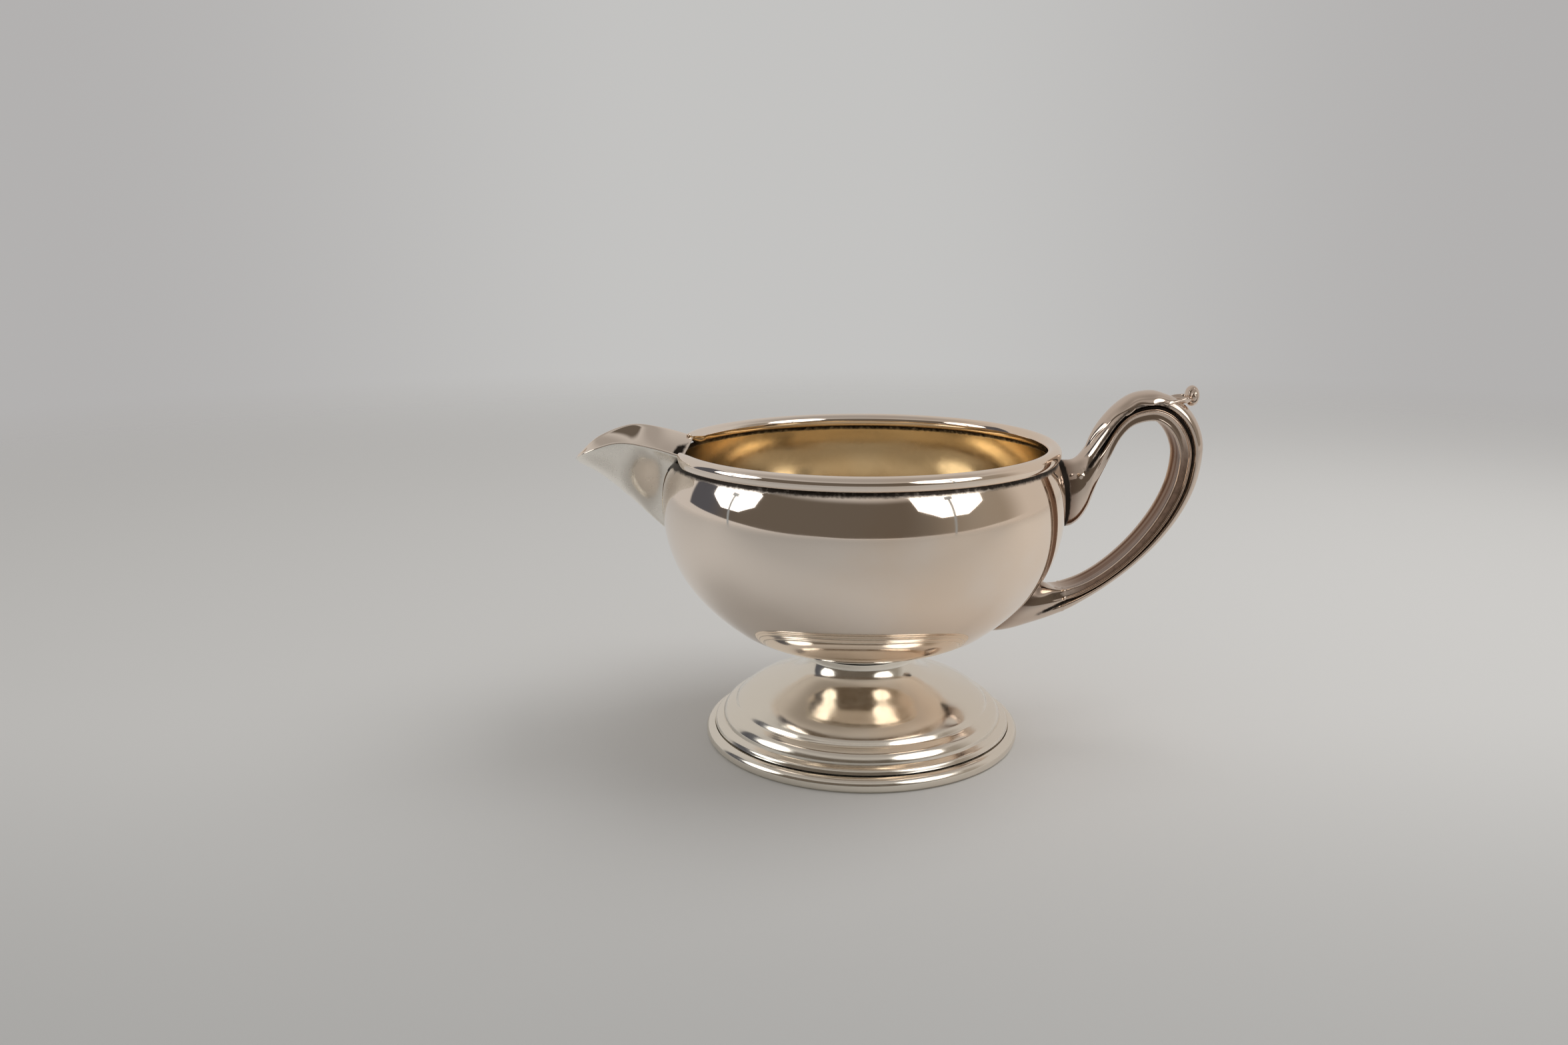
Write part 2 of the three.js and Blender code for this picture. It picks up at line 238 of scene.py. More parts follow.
def rows_mesh(rows):
    """Points and faces of a closed body made of closed rows, fanned shut at both ends."""
    columns = len(rows[0])
    points = [p for row in rows for p in row]
    faces = grid_faces(len(rows), columns, closed_columns=True)
    for first in (0, (len(rows) - 1) * columns):
        points.append(sum((points[first + i] for i in range(columns)), Vector()) / columns)
        faces += [(first + i, first + (i + 1) % columns, len(points) - 1) for i in range(columns)]
    return points, faces


# Materials ----------------------------------------------------------------------------------

class Nodes:
    """A node tree with short ways to add and join its nodes."""

    def __init__(self, tree):
        self.tree = tree

    def add(self, kind, **values):
        node = self.tree.nodes.new(kind)
        for name, value in values.items():
            setattr(node, name, value)
        return node

    def link(self, source, target):
        if isinstance(source, (int, float)):
            target.default_value = source
        elif isinstance(source, tuple):
            target.default_value = (*source, 1) if len(source) < len(target.default_value) else source
        else:
            self.tree.links.new(source, target)

    def math(self, operation, *values):
        if operation == "LENGTH":
            node = self.add("ShaderNodeVectorMath", operation=operation)
            self.link(values[0], node.inputs[0])
            return node.outputs["Value"]
        node = self.add("ShaderNodeMath", operation=operation)
        for value, socket in zip(values, node.inputs):
            self.link(value, socket)
        return node.outputs["Value"]

    def ramp(self, value, start, end, low=0.0, high=1.0):
        """low at start and high at end, smooth between them."""
        node = self.add("ShaderNodeMapRange", interpolation_type="SMOOTHSTEP")
        if start > end:
            start, end, low, high = end, start, high, low
        for source, name in ((value, "Value"), (start, "From Min"), (end, "From Max"),
                             (low, "To Min"), (high, "To Max")):
            self.link(source, node.inputs[name])
        return node.outputs["Result"]

    def blend(self, amount, first, second):
        node = self.add("ShaderNodeMix", data_type="RGBA")
        self.link(amount, node.inputs["Factor"])
        self.link(first, node.inputs["A"])
        self.link(second, node.inputs["B"])
        return node.outputs["Result"]

    def noise(self, place, scale, detail=3.0, roughness=0.5):
        node = self.add("ShaderNodeTexNoise")
        self.link(place, node.inputs["Vector"])
        for source, name in ((scale, "Scale"), (detail, "Detail"), (roughness, "Roughness")):
            self.link(source, node.inputs[name])
        return node.outputs["Fac"]


TARNISH = (0.15, 0.065, 0.03)
# Near-black colour of oxidation in hollows; the same colour also paints shade in crevices, gaps and
# pockets.
OXIDE_SHADE_COLOUR = (0.03, 0.024, 0.02)


def silver(name, color, tint, roughness, wave=0.25):
    """Polished silver with fine scratches and slight dents.

    Its colour warms to the tint in clouds, which grow towards the handle. The brown attribute
    adds tarnish; the other attribute adds black oxidation together with painted shade.
    """
    material = bpy.data.materials.new(name)
    material.use_nodes = True
    tree = Nodes(material.node_tree)
    shader = material.node_tree.nodes["Principled BSDF"]
    shader.inputs["Metallic"].default_value = 1.0
    place = tree.add("ShaderNodeTexCoord").outputs["Object"]
    parts = tree.add("ShaderNodeSeparateXYZ")
    tree.link(place, parts.inputs["Vector"])
    cloud = tree.math("MULTIPLY_ADD", parts.outputs["X"], 6.5, tree.noise(place, 32, 4))
    fine = tree.noise(place, 900, 4, 0.6)
    warm = tree.blend(tree.ramp(cloud, 0.35, 0.7), color, tint)
    brown = tree.add("ShaderNodeAttribute", attribute_name="brown").outputs["Fac"]
    warm = tree.blend(brown, warm, TARNISH)
    # The second attribute: black oxidation plus painted shade, broken up by fine noise.
    oxide_and_shade = tree.add("ShaderNodeAttribute", attribute_name="oxide_and_shade").outputs["Fac"]
    ragged = tree.math("MULTIPLY_ADD", fine, 0.7, -0.35)
    ragged = tree.math("MULTIPLY_ADD", ragged, tree.ramp(oxide_and_shade, 0.0, 0.3), oxide_and_shade)
    oxide_and_shade_mix = tree.ramp(ragged, 0.1, 0.8)
    tree.link(tree.blend(oxide_and_shade_mix, warm, OXIDE_SHADE_COLOUR), shader.inputs["Base Color"])
    haze = tree.ramp(tree.noise(place, 160, 5, 0.7), 0.3, 0.8, roughness * 0.7, roughness * 1.5)
    rough = tree.math("MULTIPLY_ADD", oxide_and_shade_mix, 0.35, haze)
    rough = tree.math("MULTIPLY_ADD", brown, 0.16, rough)
    tree.link(rough, shader.inputs["Roughness"])
    dents = tree.math("MULTIPLY_ADD", fine, 0.002, tree.noise(place, 70, 1))
    bump_node = tree.add("ShaderNodeBump")
    bump_node.inputs["Strength"].default_value = wave
    bump_node.inputs["Distance"].default_value = 0.0003
    tree.link(dents, bump_node.inputs["Height"])
    tree.link(bump_node.outputs["Normal"], shader.inputs["Normal"])
    return material


BODY = silver("polished_silver", (0.94, 0.84, 0.75), (0.93, 0.77, 0.63), 0.05)
FOOT_SILVER = silver("foot_silver", (0.90, 0.85, 0.76), (0.89, 0.81, 0.71), 0.16)
LIP_SILVER = silver("satin_lip_silver", (0.97, 0.93, 0.86), (0.96, 0.90, 0.82), 0.24, 0.04)
GILT = silver("worn_gilt_silver", (0.84, 0.72, 0.53), (0.81, 0.66, 0.45), 0.15)
HANDLE = silver("handle_silver", (0.80, 0.72, 0.65), (0.72, 0.60, 0.51), 0.07)


# Bowl ---------------------------------------------------------------------------------------

# Knots at the neck, in the floor's curve, at the belly and under the mouth wire.
bowl_curve = spline(line_through([
    (NECK_RADIUS - 0.6, NECK_Z + 0.15, 20, 0, 8),
    (33, 30.4, 38, 5, 10),
    (BELLY_RADIUS, BELLY_Z, 90, 15.5, 4.5),
    (46.8, BOWL_TOP_Z, 117, 4, 0),
], (30, 36, 24)))
bowl_radius_at = track([(bowl_curve(i / 88).y, bowl_curve(i / 88).x) for i in range(89)])

key_x = track([(0, -69.88), (0.25, -64.6), (0.5, -58.6), (0.75, -52.4), (1, -45.5)])
key_z = track([(0, 71.75), (0.25, 69.1), (0.5, 64.0), (0.75, 57.7), (1, 51.2)])
edge_x = track([(0, -70.02), (0.25, -66.2), (0.5, -58.5), (0.75, -50.5), (1, -42.6)])
edge_z = track([(0, 71.95), (0.25, 74.9), (0.5, 77.4), (0.75, 76.6), (1, 74.3)])
edge_y = track([(0, 0.8), (0.1, 7.6), (0.25, 11.8), (0.5, 13.6), (0.75, 14.5), (1, 15.1)])


def lip_face(t, s):
    """A round channel in front, narrow below and flared above where it meets the bowl."""
    side = 2 * t - 1
    reach = (math.sqrt(side * side + 0.01) - 0.1) / (math.sqrt(1.01) - 0.1)
    flare = smooth(0.5, 0.85, s)
    rise = mix(reach ** 1.6, reach ** 1.1 * (1.45 - 0.45 * reach), flare)
    width = side * mix(1.3 - 0.3 * side ** 2, 0.35 + 0.65 * side ** 2, flare)
    return Vector((
        mix(key_x(s), edge_x(s), rise),
        edge_y(s) * width,
        mix(key_z(s), edge_z(s), rise),
    ))


def lip_end(t):
    """Where the lip's sheet meets the outside of the bowl."""
    low, high = 0.3, 1.0
    for _ in range(24):
        middle = (low + high) / 2
        p = lip_face(t, middle)
        reach = mix(bowl_radius_at(p.z) + 0.02, MOUTH_WIRE_RADIUS - 1, smooth(71.5, 73.5, p.z))
        if math.hypot(p.x, p.y) > reach:
            low = middle
        else:
            high = middle
    return low


def bowl_top(angle):
    """Height of the bowl's edge: level, and cut away behind the lip to follow its channel."""
    off = abs(math.pi - angle % (2 * math.pi))
    best = BOWL_TOP_Z
    if off < 0.5:
        for p in lip_seam:
            if abs(p.y) >= LIP_CUT_RADIUS * math.sin(off):
                best = min(best, p.z)
                break
    return best


def seam_point(i):
    """A point of the lip's inner face at the bowl, from the keel (0) to the edge (SEAM_STEPS)."""
    t = 0.5 + i / (2 * SEAM_STEPS)
    return lifted(lip_face, t, lip_end(t), SHEET)


lip_seam = [seam_point(i) for i in range(SEAM_STEPS + 1)]


def corner_stain_and_shade(p):
    """Painted shade, with some oxidation, in the corner between the lip, the bowl and the end of the
    mouth wire.
    """
    corner = Vector((LIP_CORNER.x, math.copysign(LIP_CORNER.y, p.y), LIP_CORNER.z))
    return 0.65 * bump((p - corner).length, 0, 1.9)


def make_bowl():
    segments, steps = 360, 90
    points = []
    outline = [bowl_curve(i / steps) for i in range(steps + 1)]
    inner = beside(outline, SHEET)
    inner[-1].y = BOWL_TOP_Z
    rim = [outline[-1] + Vector((-SHEET / 2 + SHEET / 2 * math.cos(a), SHEET / 2 * math.sin(a)))
           for a in (math.pi * k / 6 for k in range(1, 6))]
    section = outline + rim + inner[::-1]
    for i in range(segments):
        angle = 2 * math.pi * i / segments
        top = bowl_top(angle)
        c, s = math.cos(angle), math.sin(angle)
        for p in section:
            z, radius = p.y, p.x
            if top < BOWL_TOP_Z and p.y > top - LIP_CUT_DEPTH:
                z -= smooth(top - LIP_CUT_DEPTH, BOWL_TOP_Z, p.y) * (BOWL_TOP_Z - top)
                radius = bowl_radius_at(z) + (p.x - bowl_radius_at(p.y))
            points.append(Vector((radius * c, radius * s, z)))
    columns = len(section)
    faces = grid_faces(segments, columns, closed_rows=True)
    low, high = len(points), len(points) + 1
    points += [Vector((0, 0, outline[0].y)), Vector((0, 0, outline[0].y + SHEET))]
    for i in range(segments):
        j = (i + 1) % segments
        faces.append((low, i * columns, j * columns))
        faces.append((high, j * columns + columns - 1, i * columns + columns - 1))
    seam = [Vector((p.x, sign * p.y, p.z)) for p in lip_seam[::2] for sign in (-1, 1)]

    def oxide_and_shade(p):
        """Oxide along the lip's seam and at the neck; under the wire oxidation widened by painted
        shade; painted shade in the corner at the wire's end and, with a solder line, around the upper
        socket.
        """
        # Painted shade under the mouth wire, over a thin line of oxidation in the crease.
        shade = 0.8 * smooth(BOWL_TOP_Z - 1.5, BOWL_TOP_Z - 0.4, p.z)
        shade += smooth(NECK_Z + 0.9, NECK_Z + 0.4, p.z)
        if p.x < -38:
            shade += 0.85 * smooth(1.5, 0.5, min((p - q).length for q in seam))
            # Painted shade, with some oxidation, in the corner at the end of the mouth wire.
            shade += corner_stain_and_shade(p)
        if p.x > 40:
            # A solder line with painted shade in the gap around the upper socket.
            ring = math.hypot(p.y / UPPER_SOCKET_HALF_WIDTH,
                              (p.z - UPPER_SOCKET_Z) / UPPER_SOCKET_HALF_HEIGHT)
            shade += smooth(1.16, 1.04, ring)
        return shade
    bowl = piece("bowl_shell", points, faces, BODY, ("bowl",), oxide_and_shade)
    bowl.data.materials.append(GILT)
    for face in bowl.data.polygons:
        centre = face.center / MM - AXIS / MM
        radius = math.hypot(centre.x, centre.y)
        if radius < bowl_radius_at(centre.z) - SHEET * 0.75 and centre.z > NECK_Z + 0.5:
            face.material_index = 1
    return bowl


def make_lip():
    across, along = 96, 90
    ends = [lip_end(i / across) for i in range(across + 1)]
    columns = track([(i / across, ends[i]) for i in range(across + 1)])

    def trimmed(t, s):
        return lip_face(t, s * columns(clamp(t)))
    stations = [i / along for i in range(along + 1)]
    rows = sheet_rows(trimmed, SHEET, across, stations)
    points, faces = rows_mesh(rows)

    def oxide_and_shade(p):
        """Oxide at the seam to the bowl, with a wider patch of painted shade and oxidation in the
        corner below the wire's end.
        """
        height = math.hypot(p.x, p.y) - bowl_radius_at(p.z)
        seam = 0.95 * smooth(1.5, 0.4, height) * smooth(73.5, 72, p.z)
        return clamp(seam + corner_stain_and_shade(p))
    shades = [oxide_and_shade(p) if i <= across else 0.0 for row in rows for i, p in enumerate(row)] + [0.0, 0.0]
    lip = piece("pouring_lip_sheet", points, faces, LIP_SILVER, ("pouring_lip",), shades)
    lip.data.materials.append(BODY)
    for face in lip.data.polygons:
        face.material_index = 1 if face.normal.z > 0.05 else 0
    return lip


def make_mouth_wire():
    """The wire around the mouth. Both ends taper for the last few millimetres, up to the lip."""
    tip = math.pi - math.asin(WIRE_TIP_Y / MOUTH_WIRE_RADIUS)
    around, along, fine = 40, 260, 36
    reach = WIRE_TAPER / MOUTH_WIRE_RADIUS
    taper = [reach * (k / fine) ** 2 for k in range(fine)]
    angles = [-tip + a for a in taper]
    angles += [mix(-tip + reach, tip - reach, i / along) for i in range(along + 1)]
    angles += [tip - a for a in taper[::-1]]
    rows = []
    for angle in angles:
        distance = (tip - abs(angle)) * MOUTH_WIRE_RADIUS
        nose = min(distance / 1.2, 1)
        size = max(mix(0.5, 1, smooth(0, WIRE_TAPER, distance)) * math.sqrt(nose * (2 - nose)), 0.01)
        row = []
        for i in range(around):
            turn = 2 * math.pi * i / around
            radius = MOUTH_WIRE_RADIUS + MOUTH_WIRE_SECTION * size * math.cos(turn)
            z = MOUTH_WIRE_Z + MOUTH_WIRE_SECTION * (0.8 * (1 - size) + size * math.sin(turn))
            z = max(z, BOWL_TOP_Z + 0.1)
            row.append(Vector((radius * math.cos(angle), radius * math.sin(angle), z)))
        rows.append(row)
    points, faces = rows_mesh(rows)
    return piece("mouth_wire_ring", points, faces, BODY, ("mouth_wire",))


# Foot ---------------------------------------------------------------------------------------

def make_foot():
    upper = spline([
        (NECK_RADIUS, NECK_Z), (13.3, 19.8), (14.8, 17.3), (18.2, 15.2), (23.0, 13.6),
        (27.8, 11.9), (31.0, 9.9), (32.1, 8.5),
    ])
    step = spline([(32.7, 8.3), (34.2, 7.5), (35.1, 6.3), (35.4, 5.2)])
    low = spline([(36.0, 5.0), (37.0, 4.6), (37.45, 3.7)])
    outline = []
    for curve, count in ((upper, 70), (step, 20), (low, 14)):
        outline += [curve(i / count) for i in range(count + 1)]
    inner = beside(outline, -SHEET)
    inner[0].y = NECK_Z
    inner[-1].y = 3.7
    section = outline + inner[::-1]
    points = turned_points(section, 300)
    faces = grid_faces(300, len(section), closed_rows=True, closed_columns=True)
    return piece("foot_shell", points, faces, FOOT_SILVER, ("foot",))


def make_foot_wire():
    flat = math.radians(55)
    outline = []
    for i in range(41):
        angle = mix(-flat, math.pi + flat, i / 40)
        outline.append(Vector((FOOT_WIRE_RADIUS + FOOT_WIRE_SECTION * math.cos(angle),
                               FOOT_WIRE_SECTION * (math.sin(angle) + math.sin(flat)))))
    points = turned_points(outline, 300)
    faces = grid_faces(300, len(outline), closed_rows=True, closed_columns=True)
    return piece("foot_wire_ring", points, faces, FOOT_SILVER, ("foot_wire",))


# Handle -------------------------------------------------------------------------------------

# The handle's outer and inner lines in the plane y = 0, as in the CAD model: knots of the strap
# at its foot, crest, back and lower end, between single points of the two sockets.
STRAP_OUTER = [(54.3, 72.8, 58, 0, 8), (70.5, 87, 0, 8, 7), (83.3, 72.5, -90, 8, 20),
               (50.4, 31.7, -152, 12.5, 0)]
STRAP_INNER = [(57.9, 65.5, 72, 0, 9), (69.5, 80.4, 0, 7, 4), (76.9, 70.5, -90, 5, 14),
               (50.2, 38.3, -175, 10, 0)]
STRAP_STEPS = (4, 4, 7)


def rail(before, knots, after):
    points = before + line_through(knots, STRAP_STEPS) + after
    return spline([(p[0], 0, p[1]) for p in points])


outer_rail = rail([(46.5, 70.4), (49.3, 70.3), (52, 70.6)], STRAP_OUTER,
                  [(43, 28.8), (34, 26.5), (23.5, 27.4)])
inner_rail = rail([(46.5, 53.5), (52, 54), (55.5, 58)], STRAP_INNER,
                  [(46.8, 38.9), (43.6, 39.7), (39, 41.4)])
SOCKET_POINTS = 3
LAST = 2 * SOCKET_POINTS + sum(STRAP_STEPS)
STRAP_START, STRAP_END = SOCKET_POINTS / LAST, (LAST - SOCKET_POINTS) / LAST
handle_width = track([(0, 6.1), (0.1, 5.3), (0.2, HANDLE_HALF_WIDTH), (0.6, HANDLE_HALF_WIDTH),
                      (0.85, 4.8), (1, 4.9)])

# Half of the strap's section, from the crest of its back to the middle of its inner face: the
# back, the groove, a fine bead, the side wall, and the hollow that faces the fingers.
strap_outline = spline([
    (0.495, 0), (0.47, 0.38), (0.36, 0.74), (0.2, 0.92), (0.09, 0.9), (0.03, 0.74), (-0.05, 0.72),
    (-0.1, 0.9), (-0.15, 0.98), (-0.2, 0.9), (-0.34, 0.9), (-0.46, 0.93), (-0.5, 0.84),
    (-0.43, 0.6), (-0.37, 0.3), (-0.35, 0),
])
GROOVE_Q = 5.5 / 15


def socket_outline(q):
    return Vector((0.5 * math.cos(math.pi * q), math.sin(math.pi * q)))


def grooved(s):
    """How far the section is the strap's: it melts into the round sockets at both ends."""
    return min(smooth(2.2 / LAST, 4.4 / LAST, s), smooth(19.6 / LAST, 17.2 / LAST, s))


def handle_point(q, s, sign):
    outer, inner = outer_rail(s), inner_rail(s)
    u, v = socket_outline(q).lerp(strap_outline(q), grooved(s))
    seam = 1 + 0.03 * bump(s, STRAP_END, 0.003)
    point = inner.lerp(outer, u * seam + 0.5)
    point.y = sign * v * handle_width(s) * seam
    return point


def handle_oxide_and_shade(q, s):
    """Black oxidation in the groove and thinner on the side wall, with painted shadow under the
    leaf's edge.
    """
    # The leaf's span: under its edge the strap gets painted shadow.
    leaf = smooth(3.2 / LAST, 4.2 / LAST, s) * smooth(8.6 / LAST, 7.6 / LAST, s)
    groove = bump(q, GROOVE_Q, 0.055) + 0.5 * leaf * smooth(0.14, 0.2, q) * smooth(0.44, 0.4, q)
    wall = 0.25 * smooth(0.57, 0.62, q) * smooth(0.76, 0.72, q) * smooth(0.42, 0.56, s)
    ends = min(smooth(2.0 / LAST, 3.0 / LAST, s), smooth(19.4 / LAST, 18.6 / LAST, s))
    return clamp(groove + wall) * ends


def handle_brown(q, s):
    """Brown tarnish on the side wall and in the hollow that the fingers touch."""
    wall = 0.8 * smooth(0.57, 0.62, q) * smooth(0.76, 0.72, q) * smooth(0.42, 0.56, s)
    streaks = 0.84 + 0.1 * math.sin(61 * q) + 0.06 * math.sin(97 * q + 9 * s)
    hollow = smooth(0.8, 0.86, q) * streaks
    return clamp(wall + hollow * smooth(0.3, 0.5, s)) * smooth(19 / LAST, 16.5 / LAST, s)


def make_strap(name, node, sign):
    across, along = 96, 320
    points, oxide_and_shade, brown = [], [], []

    def face(q, s):
        return handle_point(q, s, sign)
    for j in range(along + 1):
        s = mix(STRAP_START, STRAP_END, j / along)
        outside = [face(i / across, s) for i in range(across + 1)]
        inside = [lifted(face, i / across, s, sign * SHEET) for i in range(across + 1)]
        inside[0].y = inside[-1].y = 0
        points += outside + inside[::-1]
        oxide_and_shade += [handle_oxide_and_shade(i / across, s) for i in range(across + 1)] + [0.0] * (across + 1)
        brown += [handle_brown(i / across, s) for i in range(across + 1)] + [0.0] * (across + 1)
    columns = 2 * (across + 1)
    faces = grid_faces(along + 1, columns, closed_columns=True)
    for row in (0, along * columns):
        faces += [(row + i, row + i + 1, row + columns - 2 - i, row + columns - 1 - i)
                  for i in range(across)]
    return piece(name, points, faces, HANDLE, (node,), oxide_and_shade, brown)


def off_bowl(point, depth):
    """The point, or the place at this depth under the bowl's face if it lies deeper inside."""
    place = Vector((math.hypot(point.x, point.y), point.z))
    i = min(range(1, len(bowl_line) - 1), key=lambda k: (bowl_line[k] - place).length_squared)
    run = (bowl_line[i + 1] - bowl_line[i - 1]).normalized()
    out = Vector((run.y, -run.x))
    height = (place - bowl_line[i]).dot(out)
    if height > -depth:
        return point, height
    place -= out * (height + depth)
    scale = place.x / max(math.hypot(point.x, point.y), 1e-6)
    return Vector((point.x * scale, point.y * scale, place.y)), -depth


bowl_line = [bowl_curve(i / 600) for i in range(601)]


def make_socket(name, node, start, end, lumps=()):
    """A closed socket between the strap and the bowl, whose end sits in the bowl's wall."""
    around, along = 128, 90
    rows, oxide_and_shade, brown = [], [], []
    for j in range(along + 1):
        s = mix(start, end, j / along)
        row = []
        for i in range(around):
            turn = i / around
            q = 2 * turn if turn < 0.5 else 2 - 2 * turn
            point, height = off_bowl(handle_point(q, s, -1 if turn < 0.5 else 1), SOCKET_DEPTH)
            for centre, size in lumps:
                near = bump((point - Vector(centre)).length, 0, size)
                point += Vector((0.3, -0.9, 0.3)) * 0.3 * size * near
            row.append(point)
            # Painted shade, with a solder line, where the socket comes near the bowl.
            crevice = smooth(1.9, 0.8, height)
            oxide_and_shade.append(clamp(handle_oxide_and_shade(q, s) + crevice))
            brown.append(clamp(handle_brown(q, s) + 0.6 * smooth(4.5, 1.0, height)))
        rows.append(row)
    points, faces = rows_mesh(rows)
    points[-2:] = [off_bowl(p, SOCKET_DEPTH)[0] for p in points[-2:]]
    oxide_and_shade += [0.0, 0.0]
    brown += [0.0, 0.0]
    return piece(name, points, faces, HANDLE, (node,), oxide_and_shade, brown)


def solder_lumps():
    """Small beads of solder left on the near side of the upper socket."""
    spread = random.Random(7)
    return [((52.3 + spread.uniform(-2.2, 2.2), -4.6, 67.6 + spread.uniform(-2.0, 2.0)),
             spread.uniform(0.35, 0.75)) for _ in range(16)]


# Leaf on top of the handle, and its scroll ------------------------------------------------------

leaf_spine = spline([
    (54.2, 0, 72.4), (56.0, 0, 76.9), (58.3, 0, 80.5), (61.4, 0, 83.9), (65.4, 0, 86.6),
    (70.2, 0, 87.4), (73.8, 0, 86.4), (76.3, 0, 85.2), (78.2, 0, 84.9), (79.6, 0, 85.2),
])
leaf_half_width = track([(0, 0.6), (0.08, 2.0), (0.2, 3.5), (0.35, 4.3), (0.6, 4.5), (0.75, 4.1),
                         (0.88, 3.1), (1, 2.1)])
leaf_drop = track([(0, 0.4), (0.1, 1.5), (0.25, 2.3), (0.45, 2.5), (0.6, 2.3), (0.7, 1.2),
                   (0.8, -0.4), (0.9, -0.8), (1, -0.7)])
LOBES = [(0.2, 0.05), (0.36, 0.06), (0.53, 0.06), (0.68, 0.05)]


def leaf_face(t, s):
    side = 2 * t - 1
    reach = abs(side)
    lobe = sum(bump(s, centre, width) for centre, width in LOBES)
    run = leaf_spine(s + 1e-3) - leaf_spine(s - 1e-3)
    out = Vector((-run.z, 0, run.x)).normalized()
    width = leaf_half_width(s) * (0.93 + 0.1 * lobe)
    drop = leaf_drop(s) * reach ** 2.2 + 0.55 * (lobe - 0.5) * smooth(0.55, 1, reach)
    ridge = 0.28 * bump(reach, 0.86, 0.11) * smooth(0.05, 0.2, s)
    point = leaf_spine(s) + out * (ridge - drop)
    point.y = width * side * (1.2 - 0.2 * side * side)
    return point


def make_leaf():
    stations = [i / 150 for i in range(151)]
    rows = sheet_rows(leaf_face, LEAF_SHEET, 64, stations)
    points, faces = rows_mesh(rows)

    # Painted shade in the pocket in front of the scroll.
    def oxide_and_shade(p):
        return 0.7 * bump((p - LEAF_POCKET).length, 0, 1.8)
    return piece("leaf_drape", points, faces, HANDLE, ("thumb_leaf",), oxide_and_shade)


def make_scroll():
    """The leaf's rolled tip: a rounded roll across the handle with a spiral cut in each end."""
    rows, oxide_and_shade = [], []
    around, along = 96, 96
    for j in range(1, along):
        polar = math.pi * j / along
        row = []
        for i in range(around):
            turn = 2 * math.pi * i / around
            ring = math.sin(polar)
            phase = (turn / (2 * math.pi) + 1.6 * ring) % 1.0
            groove = bump(phase, 0.5, 0.13) * smooth(0.1, 0.35, ring) * smooth(0.92, 0.65, ring)
            size = 1 - 0.11 * groove
            row.append(SCROLL_CENTRE + Vector((
                SCROLL_RADII.x * ring * math.cos(turn) * size,
                -SCROLL_RADII.y * math.cos(polar) * (1 - 0.12 * groove) * (1.12 - 0.12 * ring),
                SCROLL_RADII.z * ring * math.sin(turn) * size,
            )))
            oxide_and_shade.append(0.35 * groove)
        rows.append(row)
    points, faces = rows_mesh(rows)
    return piece("thumb_scroll", points, faces, HANDLE, (), oxide_and_shade + [0.0, 0.0])


make_bowl()
make_lip()
make_mouth_wire()
make_foot()
make_foot_wire()
make_strap("handle_near_shell", "handle_near_half", -1)
make_strap("handle_far_shell", "handle_far_half", 1)
make_socket("upper_socket", "upper_terminal", 0.0, STRAP_START, solder_lumps())
make_socket("lower_socket", "lower_terminal", STRAP_END, 1.0)
make_leaf()
make_scroll()


# Studio -------------------------------------------------------------------------------------

CAMERA_PLACE = (-19.5, -306.9, 126.6)
CAMERA_FOCUS = 0.8061
CAMERA_PITCH = 0.2298
CAMERA_ROLL = -0.006
FLOOR_RADIUS = 0.9
FLOOR_FADE = 0.35
FLOOR_FRONT = -0.53
FLOOR_COLOUR = (0.80, 0.79, 0.775)
# Painted shade: the floor's colour towards the front.
FLOOR_FRONT_SHADE = (0.62, 0.615, 0.605)
SWEEP = (0.56, 0.53, 0.50)
CEILING = (0.36, 0.335, 0.31)
LEFT_WALL = (0.085, 0.087, 0.10)
WALL = (0.125, 0.105, 0.085)
RIGHT_WALL = (0.30, 0.27, 0.23)
BACKDROP = (0.55, 0.545, 0.535)
# Painted shade: the backdrop's colour towards the sides.
BACKDROP_SHADED_SIDES = (0.45, 0.44, 0.435)
FILL_LIGHT = (0.45, 0.445, 0.435)
KEY_PLACE = (0.30, 0.06, 0.6)
KEY_WATTS = 1.5
UMBRELLA_DISTANCE = 1.0
UMBRELLA_STRENGTH = 2.2


def make_camera():
    data = bpy.data.cameras.new("camera")
    data.sensor_width = 36
    data.lens = data.sensor_width * CAMERA_FOCUS
    data.clip_start, data.clip_end = 0.01, 20
    camera = bpy.data.objects.new("camera", data)
    camera.location = AXIS + Vector(CAMERA_PLACE) * MM
    camera.matrix_world = (Matrix.Translation(camera.location)
                           @ Matrix.Rotation(math.pi / 2 - CAMERA_PITCH, 4, "X")
                           @ Matrix.Rotation(CAMERA_ROLL, 4, "Z"))
    bpy.context.collection.objects.link(camera)
    bpy.context.scene.camera = camera


